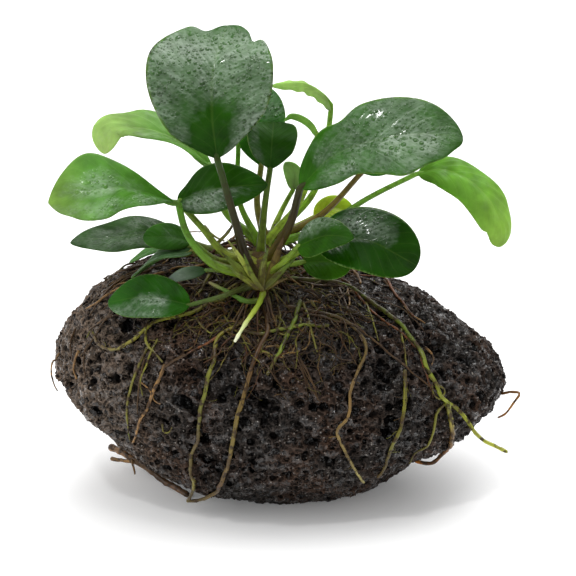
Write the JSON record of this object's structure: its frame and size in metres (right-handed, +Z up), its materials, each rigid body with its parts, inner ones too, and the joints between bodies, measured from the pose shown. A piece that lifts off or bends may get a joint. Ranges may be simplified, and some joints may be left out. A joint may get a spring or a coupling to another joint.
{
  "type": "anubias on stone",
  "caption": "Broad-leaved aquarium plant with a creeping rhizome, stalked oval leaves and long roots, grown onto a porous lava stone with a flat foot to stand on.",
  "frame": {"origin": "middle of the stone's flat foot, on the plane that it stands on", "axes": "+Z up, +X to the right as the plant is seen from its front, +Y towards its back"},
  "size_m": [0.1175, 0.0782, 0.1223],
  "materials": {
    "lava_stone": "wet, rough, porous, near-black brown",
    "root_mat": "matte, matted fine roots and humus, dark brown",
    "rhizome": "satin, ringed, olive brown",
    "leaf": "wet, leathery, dark green with fine veins",
    "young_leaf": "wet, bright yellow green",
    "stalk": "satin, green above, brown towards the rhizome",
    "root": "satin, olive to tan",
    "sprout": "satin, pale green to white"
  },
  "bodies": {
    "root": {"leaf_back": "leaf", "leaf_back_left": "leaf", "leaf_curled": "leaf", "leaf_drooping": "leaf", "leaf_front_left": "leaf", "leaf_grey_left": "leaf", "leaf_half_hidden": "leaf", "leaf_heart": "leaf", "leaf_hidden_right": "leaf", "leaf_left": "leaf", "leaf_low_right": "leaf", "leaf_middle": "leaf", "leaf_narrow_left": "leaf", "leaf_right": "leaf", "leaf_round": "leaf", "leaf_small_left": "leaf", "leaf_small_right": "leaf", "leaf_top": "leaf", "leaf_yellow": "young_leaf", "leaf_young_curled": "young_leaf", "leaf_young_thin": "young_leaf", "leaf_young_upright": "young_leaf", "rhizome": "rhizome", "root_across": "root", "root_front_left": "root", "root_front_middle": "root", "root_front_right": "root", "root_green_middle": "root", "root_long_right": "root", "root_loop_right": "root", "root_low_left": "root", "root_mat": "root_mat", "root_olive_left": "root", "root_right_low": "root", "root_right_tip": "root", "sprout_pointed": "sprout", "sprout_white": "sprout", "stalk_back": "stalk", "stalk_back_left": "stalk", "stalk_curled": "stalk", "stalk_drooping": "stalk", "stalk_front_left": "stalk", "stalk_grey_left": "stalk", "stalk_half_hidden": "stalk", "stalk_heart": "stalk", "stalk_hidden_right": "stalk", "stalk_left": "stalk", "stalk_low_right": "stalk", "stalk_middle": "stalk", "stalk_narrow_left": "stalk", "stalk_right": "stalk", "stalk_round": "stalk", "stalk_small_left": "stalk", "stalk_small_right": "stalk", "stalk_top": "stalk", "stalk_yellow": "stalk", "stalk_young_curled": "stalk", "stalk_young_thin": "stalk", "stalk_young_upright": "stalk", "stone": "lava_stone"}
  },
  "joints": []
}
